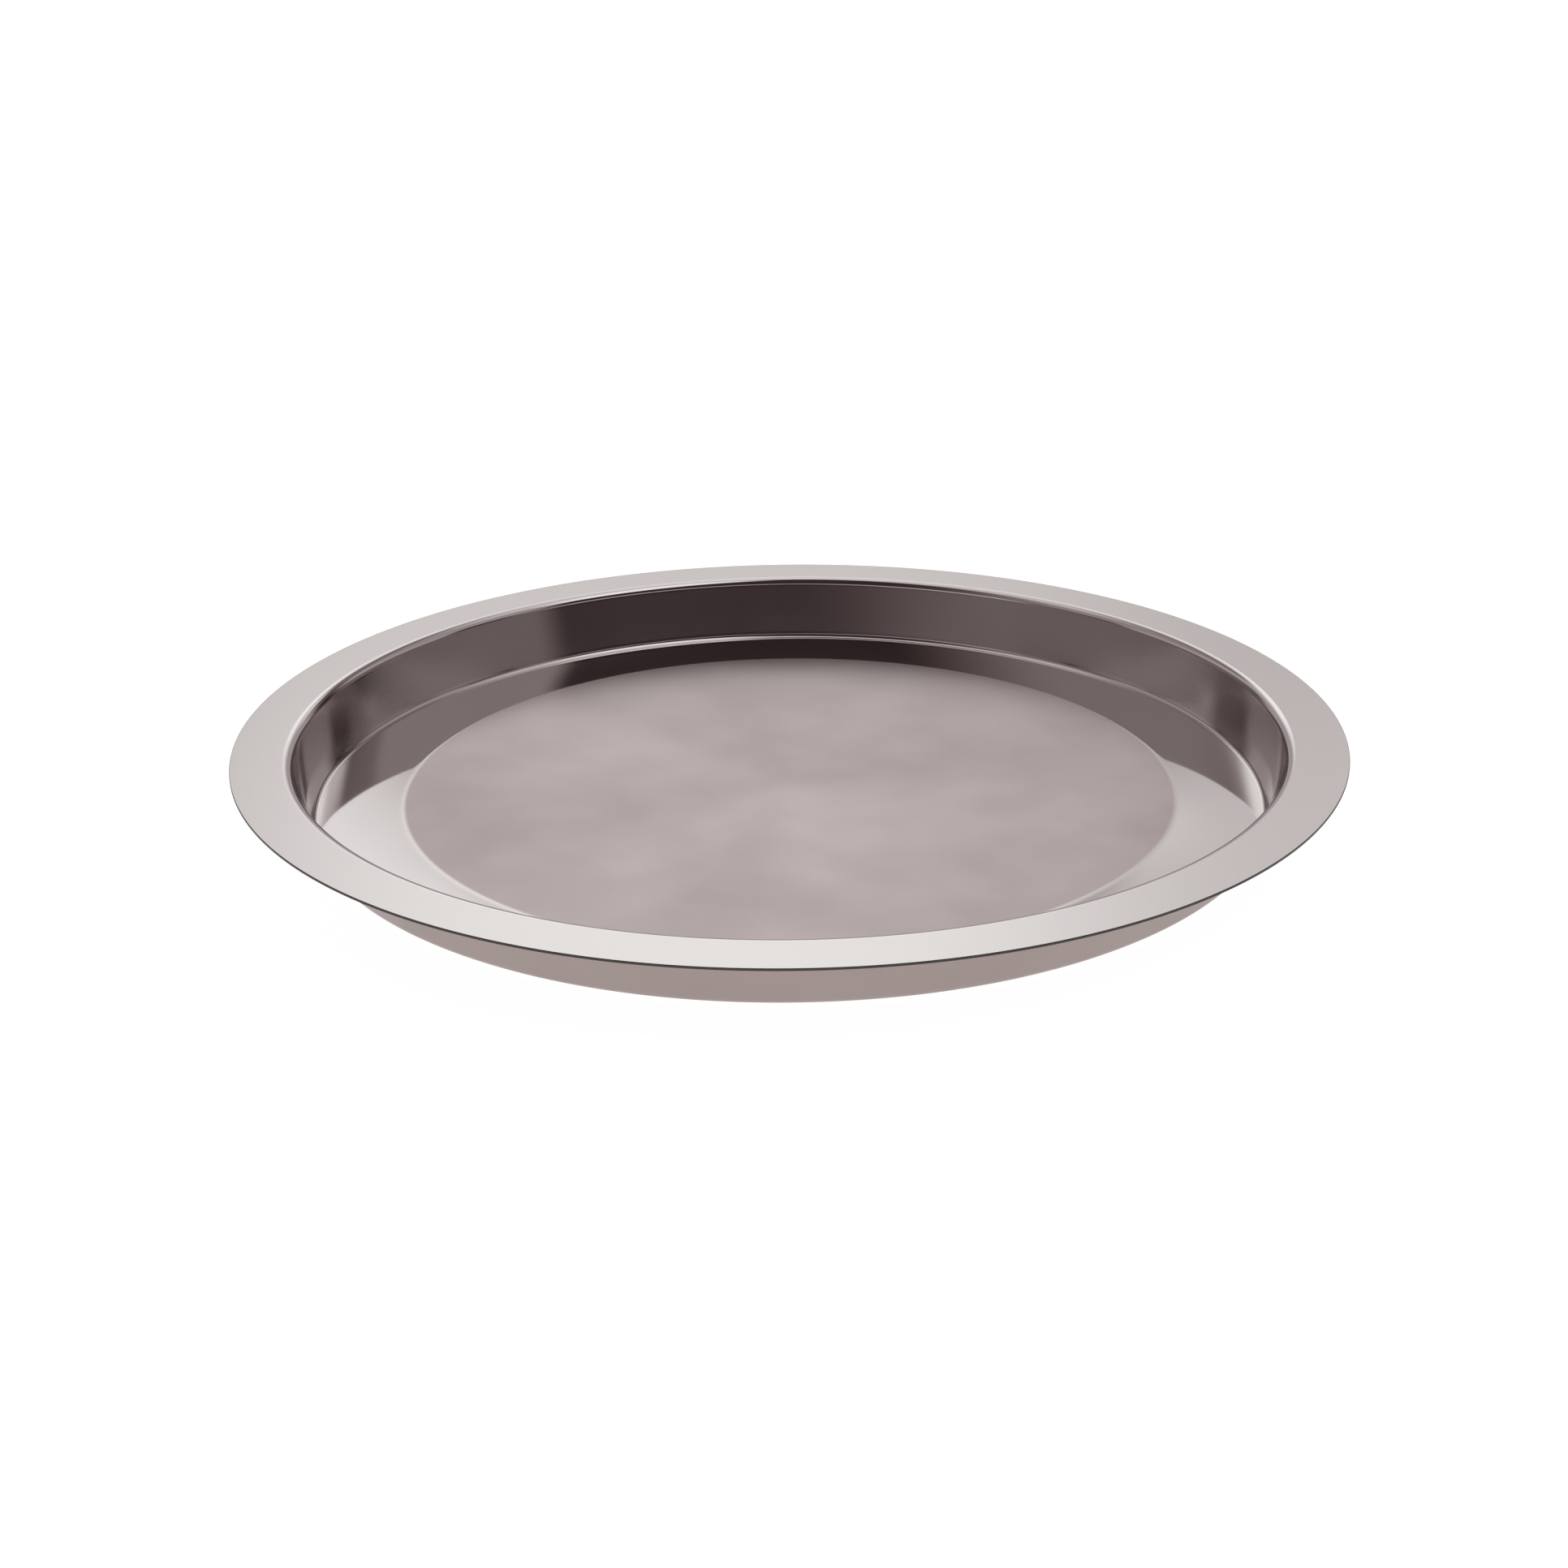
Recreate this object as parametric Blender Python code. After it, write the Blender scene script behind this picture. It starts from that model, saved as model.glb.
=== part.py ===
"""Round pressed steel pan: one sheet with a wide flat rim, a steep wall and a level floor.

Metres, +Z up. The origin is the centre of the plane that the pan stands on. The middle of the
floor is a flat plateau, a little higher than the flat ring round it that the pan stands on.
The section is an open outline from the axis on the floor's upper skin, out along the
upper skin to the rim's edge, and back along the lower skin to the axis. It is turned
once round +Z.
"""
import math

import bmesh
import bpy

# Driving dimensions
RIM_RADIUS = 0.1800
RIM_FLAT_INNER_RADIUS = 0.1635
HEIGHT = 0.0230
SHEET = 0.0008
RIM_BEND_RADIUS = 0.0032
CORNER_RADIUS = 0.0018
WALL_DRAFT = math.radians(14.0)
EDGE_CHAMFER = 0.00015
PLATEAU_RADIUS = 0.1266
PLATEAU_RISE = 0.00105
STANDING_RING_RADIUS = 0.1493

# Facets
TURN_STEPS = 96
BEND_STEPS = 6
CORNER_STEPS = 6
SLOPE_STEPS = 4
MERGE_DISTANCE = 0.00001
SHARP_ANGLE = math.radians(35.0)

STEEL_COLOUR = (0.62, 0.59, 0.57, 1.0)
STEEL_ROUGHNESS = 0.22


def clear_scene():
    for obj in list(bpy.data.objects):
        bpy.data.objects.remove(obj, do_unlink=True)


def floor_radius():
    """Radius where the flat floor meets its corner, from the rim, the draft and the height."""
    bend_end_r = RIM_FLAT_INNER_RADIUS - RIM_BEND_RADIUS * math.cos(WALL_DRAFT)
    bend_end_z = HEIGHT - RIM_BEND_RADIUS * (1.0 - math.sin(WALL_DRAFT))
    corner_end_z = SHEET + CORNER_RADIUS * (1.0 - math.sin(WALL_DRAFT))
    corner_end_r = bend_end_r - (bend_end_z - corner_end_z) * math.tan(WALL_DRAFT)
    return corner_end_r - CORNER_RADIUS * math.cos(WALL_DRAFT)


def arc(centre_r, centre_z, radius, start, end, steps):
    """Points (r, z) on an arc, both ends included."""
    points = []
    for step in range(steps + 1):
        angle = start + (end - start) * step / steps
        points.append((centre_r + radius * math.cos(angle), centre_z + radius * math.sin(angle)))
    return points


def corner_arc(radius):
    """The corner between floor and wall, from the floor outwards; both skins share its centre."""
    return arc(floor_radius(), SHEET + CORNER_RADIUS, radius, -math.pi / 2, -WALL_DRAFT, CORNER_STEPS)


def floor_rings(skin_z):
    """One skin of the floor from the axis to the corner: plateau, hollow slope, standing ring."""
    slope_width = STANDING_RING_RADIUS - PLATEAU_RADIUS
    points = [(0.0, skin_z + PLATEAU_RISE)]
    for step in range(SLOPE_STEPS + 1):
        share = step / SLOPE_STEPS
        points.append((PLATEAU_RADIUS + slope_width * share, skin_z + PLATEAU_RISE * (1.0 - share) ** 2))
    return points


def bend_arc(radius):
    """The bend between wall and rim, from the wall outwards; both skins share its centre."""
    centre_z = HEIGHT - RIM_BEND_RADIUS
    return arc(RIM_FLAT_INNER_RADIUS, centre_z, radius, math.pi - WALL_DRAFT, math.pi / 2, BEND_STEPS)


def rim_edge():
    """The sheared edge of the sheet, its two arrises broken by a small chamfer."""
    top = HEIGHT
    bottom = HEIGHT - SHEET
    return [
        (RIM_RADIUS - EDGE_CHAMFER, top),
        (RIM_RADIUS, top - EDGE_CHAMFER),
        (RIM_RADIUS, bottom + EDGE_CHAMFER),
        (RIM_RADIUS - EDGE_CHAMFER, bottom),
    ]


def section():
    """The whole outline, from the axis round the rim's edge and back to the axis."""
    upper = floor_rings(SHEET) + corner_arc(CORNER_RADIUS) + bend_arc(RIM_BEND_RADIUS)
    lower = floor_rings(0.0) + corner_arc(CORNER_RADIUS + SHEET) + bend_arc(RIM_BEND_RADIUS - SHEET)
    return upper + rim_edge() + lower[::-1]


def turned_mesh(name, outline):
    """Turn an outline of (r, z) points once round +Z into a closed mesh."""
    bm = bmesh.new()
    verts = [bm.verts.new((r, 0.0, z)) for r, z in outline]
    edges = [bm.edges.new(pair) for pair in zip(verts, verts[1:])]
    bmesh.ops.spin(
        bm, geom=verts + edges, cent=(0, 0, 0), axis=(0, 0, 1), angle=math.tau, steps=TURN_STEPS
    )
    bmesh.ops.remove_doubles(bm, verts=bm.verts, dist=MERGE_DISTANCE)
    bmesh.ops.recalc_face_normals(bm, faces=bm.faces)
    mesh = bpy.data.meshes.new(name)
    bm.to_mesh(mesh)
    bm.free()
    mesh.shade_smooth()
    mesh.set_sharp_from_angle(angle=SHARP_ANGLE)
    return mesh


def steel_material():
    material = bpy.data.materials.new("stainless_steel")
    material.use_nodes = True
    shader = material.node_tree.nodes["Principled BSDF"]
    shader.inputs["Base Color"].default_value = STEEL_COLOUR
    shader.inputs["Metallic"].default_value = 1.0
    shader.inputs["Roughness"].default_value = STEEL_ROUGHNESS
    return material


def make_pan_shell():
    mesh = turned_mesh("pan_shell", section())
    mesh.materials.append(steel_material())
    pan = bpy.data.objects.new("pan_shell", mesh)
    bpy.context.scene.collection.objects.link(pan)
    return pan


def main():
    clear_scene()
    make_pan_shell()


main()
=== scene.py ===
"""Looks of the round pressed steel pan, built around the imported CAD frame.

The pan is one turned sheet: a flat floor with a satin disc inside a polished border, a tight
corner, a steep wall, a rounded bend and a wide flat rim with a bare sheared edge.
Metres, +Z up, the pan stands on z = 0 and its axis is the Z axis. -Y faces the camera.
"""

import math

import bpy
from mathutils import Matrix, Vector


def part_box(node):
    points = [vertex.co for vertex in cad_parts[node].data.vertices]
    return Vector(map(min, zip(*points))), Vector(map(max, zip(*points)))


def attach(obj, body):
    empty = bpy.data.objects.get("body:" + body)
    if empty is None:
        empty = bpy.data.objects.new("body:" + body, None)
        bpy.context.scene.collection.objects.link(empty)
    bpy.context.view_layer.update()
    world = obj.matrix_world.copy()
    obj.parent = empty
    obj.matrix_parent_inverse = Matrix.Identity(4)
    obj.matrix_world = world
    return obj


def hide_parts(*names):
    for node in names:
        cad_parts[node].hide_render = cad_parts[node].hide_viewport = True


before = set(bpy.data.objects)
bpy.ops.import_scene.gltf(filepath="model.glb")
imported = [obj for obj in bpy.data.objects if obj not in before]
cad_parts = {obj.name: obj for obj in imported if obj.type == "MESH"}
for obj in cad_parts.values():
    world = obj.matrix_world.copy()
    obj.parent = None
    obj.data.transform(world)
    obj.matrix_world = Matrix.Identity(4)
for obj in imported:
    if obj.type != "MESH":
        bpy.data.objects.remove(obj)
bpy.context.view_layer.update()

# The sheet's section, as in the CAD part
PAN_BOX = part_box("pan_shell")
RIM_RADIUS = PAN_BOX[1].x
HEIGHT = PAN_BOX[1].z
SHEET = 0.0008
RIM_FLAT_INNER_RADIUS = 0.1635
RIM_BEND_RADIUS = 0.0032
CORNER_RADIUS = 0.0018
WALL_DRAFT = math.radians(14.0)
EDGE_ROUND = 0.00015
PLATEAU_RADIUS = 0.1266
PLATEAU_RISE = 0.00105
STANDING_RING_RADIUS = 0.1493
PLATEAU_EDGE_SOFTNESS = 0.0012

# Material slots of the sheet
UPPER, EDGE, LOWER = range(3)

# Mesh resolution
TURN_STEPS = 512
ARC_STEPS = 16
EDGE_STEPS = 4
FLAT_STEPS = 8
SLOPE_STEPS = 24

# Camera
LENS_MM = 54.208
SENSOR_MM = 36.0
CAMERA_AT = Vector((0.0, -0.7268, 0.2962))
CAMERA_AIM = Vector((-0.0018, 0.0, 0.0014))
CAMERA_ROLL = math.radians(-0.668)


# ---------------------------------------------------------------- geometry

def arc(centre_r, centre_z, radius, start, end, steps, facing):
    """Section points (r, z, normal r, normal z) on an arc; facing is -1 where metal is outside."""
    points = []
    for step in range(steps + 1):
        angle = start + (end - start) * step / steps
        c, s = math.cos(angle), math.sin(angle)
        points.append((centre_r + radius * c, centre_z + radius * s, facing * c, facing * s))
    return points


def line(start, end, normal, steps):
    """Section points strictly between two ends of a straight run."""
    points = []
    for step in range(1, steps):
        t = step / steps
        r = start[0] + (end[0] - start[0]) * t
        z = start[1] + (end[1] - start[1]) * t
        points.append((r, z, normal[0], normal[1]))
    return points


def joined(runs, steps):
    """Join arcs with straight runs whose normals follow from the arcs' own ends."""
    points = list(runs[0])
    for run in runs[1:]:
        last, first = points[-1], run[0]
        points += line(last, first, (first[2], first[3]), steps)
        points += run
    return points


def floor_run(skin_z, facing):
    """One skin of the floor from the plateau's edge down its hollow slope to the standing ring."""
    width = STANDING_RING_RADIUS - PLATEAU_RADIUS
    steepest = 2.0 * PLATEAU_RISE / width
    points = []
    for step in range(SLOPE_STEPS + 1):
        share = step / SLOPE_STEPS
        easing = min(1.0, share * width / PLATEAU_EDGE_SOFTNESS)
        slope = steepest * (1.0 - share) * easing
        z = skin_z + PLATEAU_RISE * (1.0 - share) ** 2
        normal = (facing * math.sin(slope), facing * math.cos(slope))
        points.append((PLATEAU_RADIUS + width * share, z, normal[0], normal[1]))
    return points


def section():
    """The sheet's outline from the axis on the floor, round the rim's edge, to the axis below."""
    bend_r, bend_z = RIM_FLAT_INNER_RADIUS, HEIGHT - RIM_BEND_RADIUS
    wall_top_r = bend_r - RIM_BEND_RADIUS * math.cos(WALL_DRAFT)
    wall_top_z = bend_z + RIM_BEND_RADIUS * math.sin(WALL_DRAFT)
    wall_foot_z = SHEET + CORNER_RADIUS * (1.0 - math.sin(WALL_DRAFT))
    wall_foot_r = wall_top_r - (wall_top_z - wall_foot_z) * math.tan(WALL_DRAFT)
    corner_r, corner_z = wall_foot_r - CORNER_RADIUS * math.cos(WALL_DRAFT), SHEET + CORNER_RADIUS
    edge_r = RIM_RADIUS - EDGE_ROUND
    edge_top_z, edge_low_z = HEIGHT - EDGE_ROUND, HEIGHT - SHEET + EDGE_ROUND
    down, flat, up = -math.pi / 2, 0.0, math.pi / 2
    wall_in, wall_out = math.pi - WALL_DRAFT, -WALL_DRAFT
    upper = [
        [(0.0, SHEET + PLATEAU_RISE, 0.0, 1.0)],
        floor_run(SHEET, 1),
        arc(corner_r, corner_z, CORNER_RADIUS, down, wall_out, ARC_STEPS, -1),
        arc(bend_r, bend_z, RIM_BEND_RADIUS, wall_in, up, ARC_STEPS, 1),
        arc(edge_r, edge_top_z, EDGE_ROUND, up, flat, EDGE_STEPS, 1),
        arc(edge_r, edge_low_z, EDGE_ROUND, flat, down, EDGE_STEPS, 1),
    ]
    lower = [
        arc(bend_r, bend_z, RIM_BEND_RADIUS - SHEET, up, wall_in, ARC_STEPS, -1),
        arc(corner_r, corner_z, CORNER_RADIUS + SHEET, wall_out, down, ARC_STEPS, 1),
        floor_run(0.0, -1)[::-1],
        [(0.0, PLATEAU_RISE, 0.0, -1.0)],
    ]
    return joined(upper + lower, FLAT_STEPS)


def turned_sheet(name, outline):
    """Turn the outline round Z into a closed mesh that carries the section's exact normals."""
    verts, normals, rings = [], [], []
    for r, z, normal_r, normal_z in outline:
        if r == 0.0:
            rings.append([len(verts)] * TURN_STEPS)
            verts.append((0.0, 0.0, z))
            normals.append((0.0, 0.0, normal_z))
            continue
        rings.append(list(range(len(verts), len(verts) + TURN_STEPS)))
        for step in range(TURN_STEPS):
            turn = math.tau * step / TURN_STEPS
            c, s = math.cos(turn), math.sin(turn)
            verts.append((r * c, r * s, z))
            normals.append((normal_r * c, normal_r * s, normal_z))
    on_edge = [ring for ring, point in enumerate(outline) if point[0] > RIM_RADIUS - 2 * EDGE_ROUND]
    faces, skins = [], []
    for ring, (inner, outer) in enumerate(zip(rings, rings[1:])):
        skin = UPPER if ring < on_edge[0] else EDGE if ring < on_edge[-1] else LOWER
        for step in range(TURN_STEPS):
            after = (step + 1) % TURN_STEPS
            corners = [inner[step], outer[step], outer[after], inner[after]]
            faces.append(list(dict.fromkeys(corners)))
            skins.append(skin)
    mesh = bpy.data.meshes.new(name)
    mesh.from_pydata(verts, [], faces)
    mesh.shade_smooth()
    mesh.normals_split_custom_set_from_vertices(normals)
    mesh.polygons.foreach_set("material_index", skins)
    pan = bpy.data.objects.new(name, mesh)
    bpy.context.scene.collection.objects.link(pan)
    return pan


# ---------------------------------------------------------------- node helpers

class Tree:
    """Short calls for wiring a node tree. Any value may be a number, a tuple or a socket."""

    def __init__(self, owner):
        owner.use_nodes = True
        self.tree = owner.node_tree

    def plug(self, value, socket):
        if isinstance(value, bpy.types.NodeSocket):
            self.tree.links.new(value, socket)
        else:
            socket.default_value = value

    def node(self, kind, **settings):
        made = self.tree.nodes.new(kind)
        for key, value in settings.items():
            setattr(made, key, value)
        return made

    def math(self, operation, *values):
        made = self.node("ShaderNodeMath", operation=operation)
        for value, socket in zip(values, made.inputs):
            self.plug(value, socket)
        return made.outputs[0]

    def vector(self, operation, *values):
        made = self.node("ShaderNodeVectorMath", operation=operation)
        for value, socket in zip(values, made.inputs):
            self.plug(value, socket)
        return made.outputs["Value" if operation in ("LENGTH", "DOT_PRODUCT") else "Vector"]

    def parts(self, vector):
        made = self.node("ShaderNodeSeparateXYZ")
        self.plug(vector, made.inputs[0])
        return made.outputs[0], made.outputs[1], made.outputs[2]

    def pack(self, x, y, z):
        made = self.node("ShaderNodeCombineXYZ")
        for value, socket in zip((x, y, z), made.inputs):
            self.plug(value, socket)
        return made.outputs[0]

    def fade(self, value, start, end, low=0.0, high=1.0):
        """A smooth step from low at start to high at end."""
        made = self.node("ShaderNodeMapRange", interpolation_type="SMOOTHSTEP")
        for item, socket in zip((value, start, end, low, high), made.inputs):
            self.plug(item, socket)
        return made.outputs[0]

    def mix(self, share, first, second):
        """Numbers: first where share is 0, second where it is 1."""
        made = self.node("ShaderNodeMix", data_type="FLOAT")
        sockets = (made.inputs[0], made.inputs[2], made.inputs[3])
        for value, socket in zip((share, first, second), sockets):
            self.plug(value, socket)
        return made.outputs[0]

    def mix_colour(self, share, first, second):
        """Colours: first where share is 0, second where it is 1."""
        made = self.node("ShaderNodeMix", data_type="RGBA")
        sockets = (made.inputs[0], made.inputs[6], made.inputs[7])
        for value, socket in zip((share, first, second), sockets):
            self.plug(value, socket)
        return made.outputs[2]

    def noise(self, vector, scale, detail, roughness):
        made = self.node("ShaderNodeTexNoise")
        self.plug(vector, made.inputs["Vector"])
        made.inputs["Scale"].default_value = scale
        made.inputs["Detail"].default_value = detail
        made.inputs["Roughness"].default_value = roughness
        return made.outputs["Fac"]

    def bump(self, height, distance):
        made = self.node("ShaderNodeBump")
        made.inputs["Strength"].default_value = 1.0
        made.inputs["Distance"].default_value = distance
        self.plug(height, made.inputs["Height"])
        return made.outputs[0]


# ---------------------------------------------------------------- materials

# Where one finish of the upper skin gives way to the next
DISC_BORDER = 0.0010
RIM_BORDER = 0.0010
WALL_FOOT = (SHEET + 0.8 * CORNER_RADIUS, SHEET + 1.4 * CORNER_RADIUS)
WALL_TOP = (HEIGHT - 0.7 * RIM_BEND_RADIUS, HEIGHT - RIM_BEND_RADIUS)

# Finishes of the upper skin; the disc's roughness is given as its dull and its smooth patches
MIRROR_ROUGHNESS = 0.05
WALL_ROUGHNESS = 0.11
WALL_GRAIN = 0.85
GRAIN_QUARTER_TURN = 0.25
RIM_ROUGHNESS = 0.23
DULL_SATIN, SMOOTH_SATIN = 0.33, 0.28
STEEL = (0.67, 0.63, 0.62, 1.0)
RIM_STEEL = (0.76, 0.73, 0.715, 1.0)
SATIN_STEEL = (0.475, 0.402, 0.390, 1.0)
SATIN_STEEL_PALE = (0.566, 0.489, 0.476, 1.0)

# Patterns in the steel, as noise scale, detail and roughness
BROAD_PATCHES = (14.0, 2.0, 0.5)
SMALL_PATCHES = (48.0, 2.0, 0.5)
SATIN_GRAIN = (900.0, 2.0, 0.6)
LOWER_PATCHES = (35.0, 3.0, 0.55)
EDGE_GRAIN = (2500.0, 2.0, 0.6)
SMALL_PATCH_SHARE = 0.3
RINGS_PER_METRE = 1500.0
RING_PATTERN = (1.0, 3.0, 0.7)
RING_DEPTH_SHARE = 0.15
GRAIN_DEPTH = 0.000004

# Lower skin and sheared edge
# The lower skin's colour is the steel's own tone darkened by painted shade, standing in for the
# shadowed floor it mirrors under the rim
LOWER_STEEL_WITH_PAINTED_SHADE = (0.362, 0.302, 0.286, 1.0)
LOWER_ROUGHNESS = (0.34, 0.42)
EDGE_STEEL = (0.070, 0.062, 0.060, 1.0)
EDGE_ROUGHNESS = (0.35, 0.55)

FLOOR_GREY = (0.60, 0.60, 0.60, 1.0)
FLOOR_GLOW = (0.98, 0.99, 1.0, 1.0)
FLOOR_GLOW_STRENGTH = 0.90


def steel_inside():
    """The upper skin: satin disc, mirror-polished border, wall turned in fine rings, satin rim."""
    material = bpy.data.materials.new("steel_upper_skin")
    tree = Tree(material)
    shader = tree.tree.nodes["Principled BSDF"]
    place = tree.node("ShaderNodeTexCoord").outputs["Object"]
    x, y, z = tree.parts(place)
    radius = tree.vector("LENGTH", tree.pack(x, y, 0.0))
    out_of_disc = tree.fade(radius, PLATEAU_RADIUS - DISC_BORDER, PLATEAU_RADIUS + DISC_BORDER)
    over_foot = tree.fade(z, *WALL_FOOT)
    under_bend = tree.fade(z, *WALL_TOP)
    on_wall = tree.math("MULTIPLY", over_foot, under_bend)
    rim_starts = RIM_FLAT_INNER_RADIUS
    on_rim = tree.fade(radius, rim_starts - RIM_BORDER, rim_starts + RIM_BORDER)
    mottle = tree.fade(tree.noise(place, *BROAD_PATCHES), 0.25, 0.75)
    cloud = tree.fade(tree.noise(place, *SMALL_PATCHES), 0.3, 0.7)
    grain = tree.noise(place, *SATIN_GRAIN)
    ring_place = tree.pack(tree.math("MULTIPLY", radius, RINGS_PER_METRE), 0.0, 0.0)
    turning = tree.noise(ring_place, *RING_PATTERN)
    satin = tree.mix(mottle, DULL_SATIN, SMOOTH_SATIN)
    shell = tree.mix(on_rim, tree.mix(on_wall, MIRROR_ROUGHNESS, WALL_ROUGHNESS), RIM_ROUGHNESS)
    tree.plug(tree.mix(out_of_disc, satin, shell), shader.inputs["Roughness"])
    tree.plug(tree.math("MULTIPLY", on_wall, WALL_GRAIN), shader.inputs["Anisotropic"])
    shader.inputs["Anisotropic Rotation"].default_value = GRAIN_QUARTER_TURN
    rings = tree.node("ShaderNodeTangent", direction_type="RADIAL", axis="Z")
    tree.plug(rings.outputs[0], shader.inputs["Tangent"])
    patches = tree.mix(SMALL_PATCH_SHARE, mottle, cloud)
    shade = tree.mix_colour(patches, SATIN_STEEL, SATIN_STEEL_PALE)
    bright = tree.mix_colour(on_rim, STEEL, RIM_STEEL)
    tree.plug(tree.mix_colour(out_of_disc, shade, bright), shader.inputs["Base Color"])
    height = tree.mix(out_of_disc, grain, tree.math("MULTIPLY", turning, RING_DEPTH_SHARE))
    tree.plug(tree.bump(height, GRAIN_DEPTH), shader.inputs["Normal"])
    shader.inputs["Metallic"].default_value = 1.0
    return material


def steel_outside():
    """The lower skin: plainer, a little rougher, its colour darkened below the steel's own tone as
    painted shade.
    """
    material = bpy.data.materials.new("steel_lower_skin_with_painted_shade")
    tree = Tree(material)
    shader = tree.tree.nodes["Principled BSDF"]
    place = tree.node("ShaderNodeTexCoord").outputs["Object"]
    mottle = tree.noise(place, *LOWER_PATCHES)
    tree.plug(tree.fade(mottle, 0.3, 0.7, *LOWER_ROUGHNESS), shader.inputs["Roughness"])
    shader.inputs["Base Color"].default_value = LOWER_STEEL_WITH_PAINTED_SHADE
    shader.inputs["Metallic"].default_value = 1.0
    return material


def steel_edge():
    """The sheared edge: rough bare steel."""
    material = bpy.data.materials.new("steel_sheared_edge")
    tree = Tree(material)
    shader = tree.tree.nodes["Principled BSDF"]
    place = tree.node("ShaderNodeTexCoord").outputs["Object"]
    grain = tree.noise(place, *EDGE_GRAIN)
    tree.plug(tree.fade(grain, 0.3, 0.7, *EDGE_ROUGHNESS), shader.inputs["Roughness"])
    shader.inputs["Base Color"].default_value = EDGE_STEEL
    shader.inputs["Metallic"].default_value = 1.0
    return material


def floor_paper():
    """Matt near-white paper that glows a little, so that the pan's shadow stays faint."""
    material = bpy.data.materials.new("floor_paper")
    material.use_nodes = True
    shader = material.node_tree.nodes["Principled BSDF"]
    shader.inputs["Base Color"].default_value = FLOOR_GREY
    shader.inputs["Roughness"].default_value = 1.0
    shader.inputs["Specular IOR Level"].default_value = 0.0
    shader.inputs["Emission Color"].default_value = FLOOR_GLOW
    shader.inputs["Emission Strength"].default_value = FLOOR_GLOW_STRENGTH
    return material


# ---------------------------------------------------------------- stage, light and camera

FLOOR_HALF = 14.0
FLOOR_LEVEL = -0.0002
FLOOR_SIDES = ((-1, -1), (1, -1), (1, 1), (-1, 1))


def make_floor():
    mesh = bpy.data.meshes.new("floor")
    corners = [(x * FLOOR_HALF, y * FLOOR_HALF, FLOOR_LEVEL) for x, y in FLOOR_SIDES]
    mesh.from_pydata(corners, [], [(0, 1, 2, 3)])
    floor = bpy.data.objects.new("floor", mesh)
    mesh.materials.append(floor_paper())
    bpy.context.scene.collection.objects.link(floor)


# The studio's soft panels, storey by storey. A panel is its two edges, how soft they are, and its
# brightness; later panels lie over earlier ones. Headings are degrees from straight behind the
# pan (+Y), with right (+X) positive.
DARK_SIDE = 0.03
LOW_PANELS = [(-150, -30, 30, 0.15), (-32, 32, 5, 0.40), (45, 118, 5, 0.15)]
MIDDLE_PANELS = [(-150, -90, 30, 0.15), (-85, -20, 5, 0.45), (-18, 12, 10, 1.20), (12, 24, 4, 0.85),
                 (24, 40, 3, 0.10), (40, 85, 4, 0.45), (105, 118, 4, 0.20)]
HIGH_PANELS = [(-120, -20, 30, 0.30), (-15, 13, 5, 0.90), (13, 40, 5, 0.20), (40, 110, 5, 0.35)]
CEILING_PANELS = [(-85, 95, 40, 0.70), (-15, 20, 15, 0.95)]
TOP_LIGHT_AT = Vector((0.34, -0.12, 0.93)).normalized()
TOP_LIGHT = 1.2
TOP_LIGHT_OUTER, TOP_LIGHT_INNER = math.radians(20.0), math.radians(10.0)

# Degrees above the floor over which each storey gives way to the next
LOW_TO_MIDDLE = (13.5, 24.5)
MIDDLE_TO_HIGH = (27.0, 32.5)
HIGH_TO_CEILING = (44.0, 60.0)

# A dim band at the camera's side; its lower edge drops towards its ends
BAND_BRIGHTNESS = 0.40
BAND_BOTTOM = (17.5, 20.5)
BAND_TOP = (28.0, 24.0)
BAND_DROP = 5.0
BAND_TURNED_TO_CAMERA = (-0.35, -0.55)

# The light is a little rosy where it is dim
RED_POWER, BLUE_POWER = 0.88, 0.98
WHITE = (1.0, 1.0, 1.0, 1.0)


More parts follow.
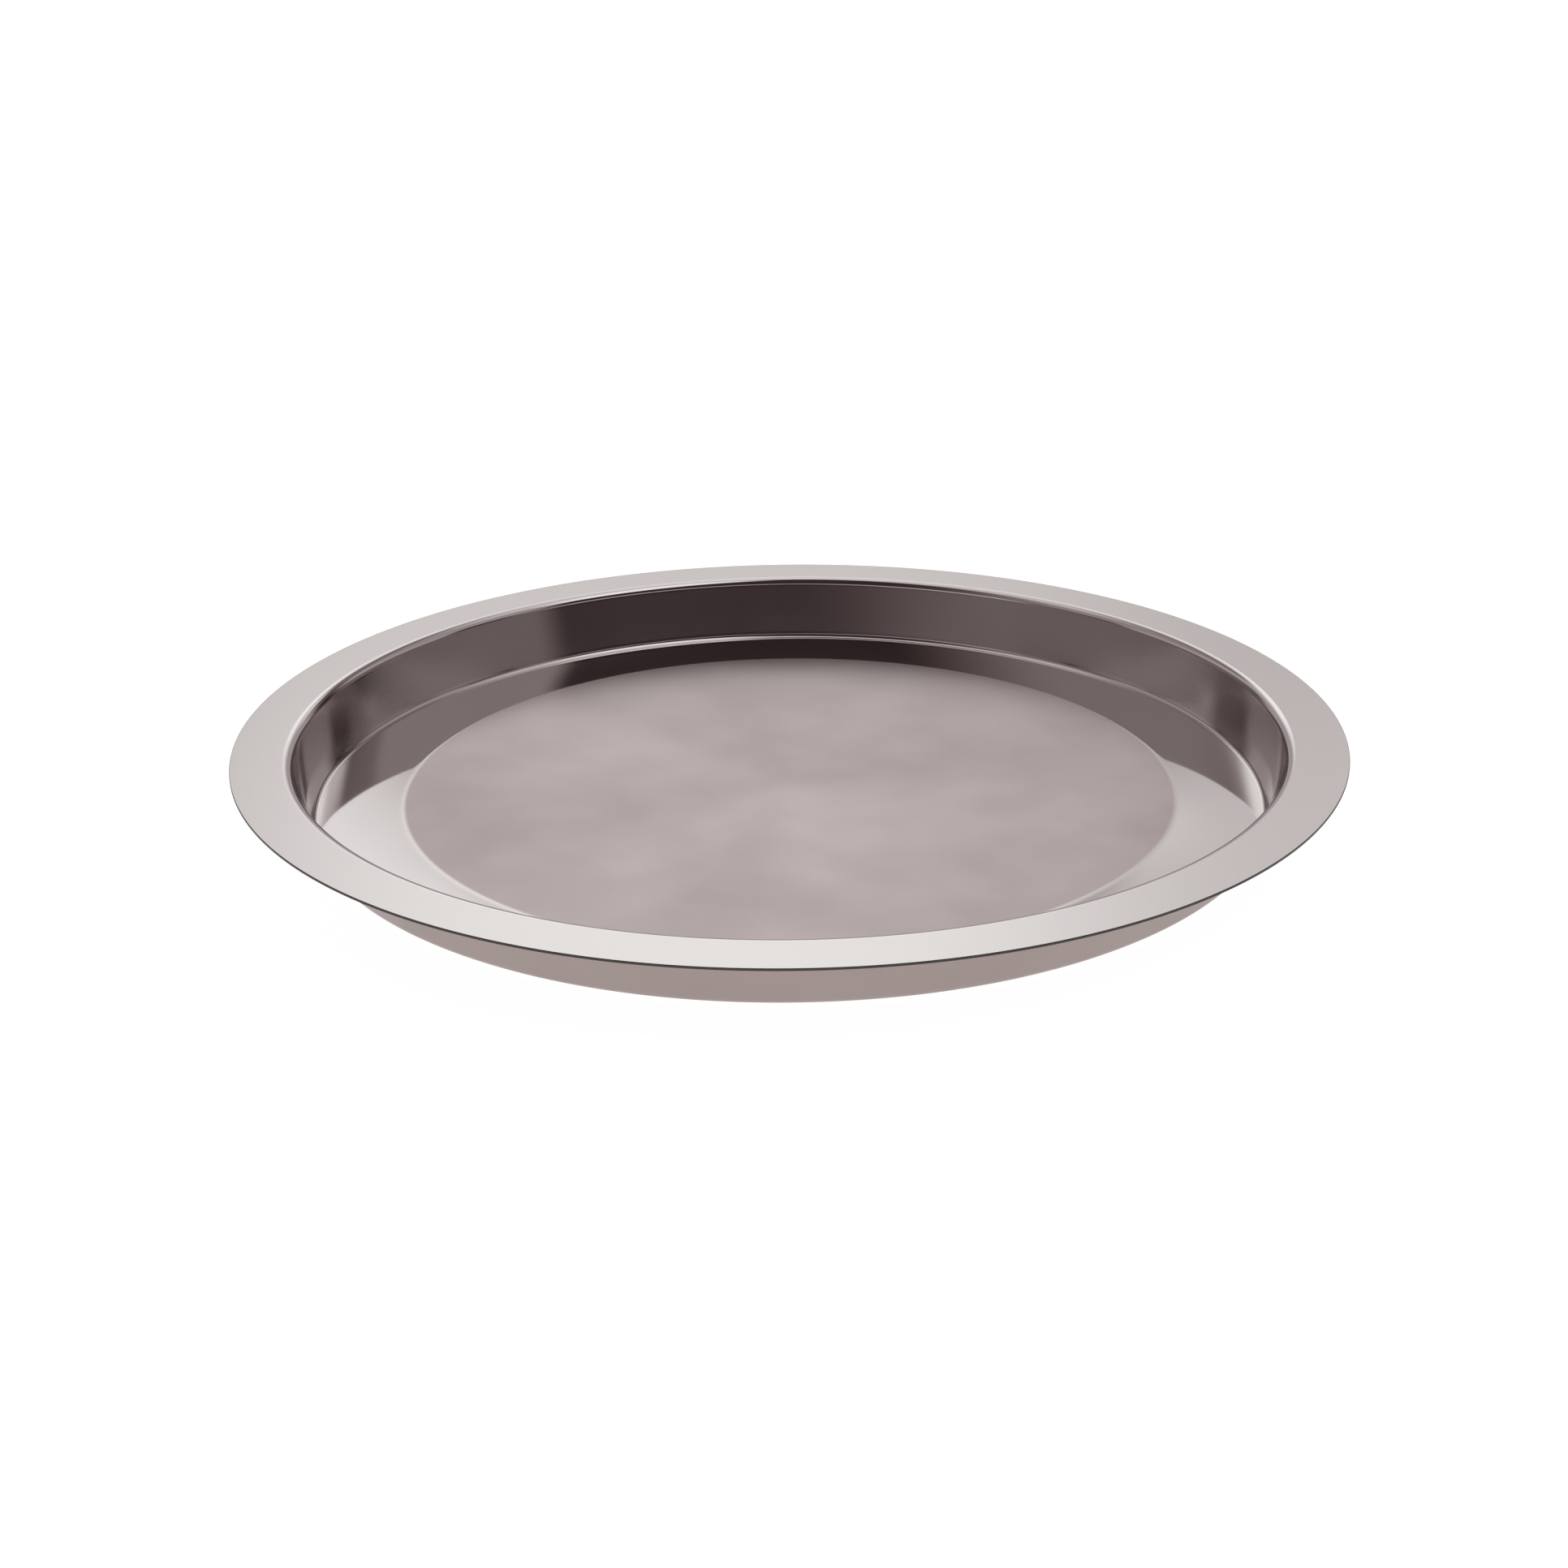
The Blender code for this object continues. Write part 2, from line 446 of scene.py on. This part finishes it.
def make_world():
    """Soft panels behind and above the pan, dimmer ones at its sides, and a dark camera side."""
    world = bpy.data.worlds.new("studio")
    bpy.context.scene.world = world
    tree = Tree(world)
    background = tree.tree.nodes["Background"]
    x, y, z = tree.parts(tree.node("ShaderNodeTexCoord").outputs["Generated"])
    heading = tree.math("DEGREES", tree.math("ARCTAN2", x, y))
    height = tree.math("DEGREES", tree.math("ARCSINE", z))

    def storey(panels):
        """The light of one storey by heading, its panels laid over the dark side."""
        light = DARK_SIDE
        for start, end, softness, brightness in panels:
            after_start = tree.fade(heading, start - softness, start + softness)
            before_end = tree.fade(heading, end + softness, end - softness)
            light = tree.mix(tree.math("MULTIPLY", after_start, before_end), light, brightness)
        return light

    glow = tree.mix(tree.fade(height, *LOW_TO_MIDDLE), storey(LOW_PANELS), storey(MIDDLE_PANELS))
    glow = tree.mix(tree.fade(height, *MIDDLE_TO_HIGH), glow, storey(HIGH_PANELS))
    glow = tree.mix(tree.fade(height, *HIGH_TO_CEILING), glow, storey(CEILING_PANELS))
    towards_top = tree.vector("DOT_PRODUCT", tree.pack(x, y, z), TOP_LIGHT_AT)
    top = tree.fade(towards_top, math.cos(TOP_LIGHT_OUTER), math.cos(TOP_LIGHT_INNER))
    glow = tree.mix(top, glow, TOP_LIGHT)
    band_height = tree.math("MULTIPLY_ADD", tree.math("ABSOLUTE", x), BAND_DROP, height)
    band = tree.math("MULTIPLY", tree.fade(band_height, *BAND_BOTTOM), tree.fade(height, *BAND_TOP))
    at_camera = tree.fade(y, *BAND_TURNED_TO_CAMERA, 0.0, BAND_BRIGHTNESS)
    glow = tree.math("ADD", glow, tree.math("MULTIPLY", band, at_camera))
    red = tree.math("POWER", glow, RED_POWER)
    blue = tree.math("POWER", glow, BLUE_POWER)
    colour = tree.node("ShaderNodeCombineColor")
    for value, socket in zip((red, glow, blue), colour.inputs):
        tree.plug(value, socket)
    seen = tree.node("ShaderNodeLightPath").outputs["Is Camera Ray"]
    tree.plug(tree.mix_colour(seen, colour.outputs[0], WHITE), background.inputs["Color"])


def make_camera():
    camera = bpy.data.cameras.new("camera")
    camera.lens = LENS_MM
    camera.sensor_width = SENSOR_MM
    rig = bpy.data.objects.new("camera", camera)
    bpy.context.scene.collection.objects.link(rig)
    forward = (CAMERA_AIM - CAMERA_AT).normalized()
    level_right = forward.cross(Vector((0.0, 0.0, 1.0))).normalized()
    level_up = level_right.cross(forward)
    c, s = math.cos(CAMERA_ROLL), math.sin(CAMERA_ROLL)
    right = c * level_right + s * level_up
    up = c * level_up - s * level_right
    turn = Matrix((right, up, -forward)).transposed()
    rig.matrix_world = Matrix.Translation(CAMERA_AT) @ turn.to_4x4()
    bpy.context.scene.camera = rig


pan = turned_sheet("pressed_pan", section())
for finish in (steel_inside(), steel_edge(), steel_outside()):
    pan.data.materials.append(finish)
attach(pan, "root")
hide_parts("pan_shell")
make_floor()
make_world()
make_camera()
bpy.context.scene.view_settings.view_transform = "Standard"
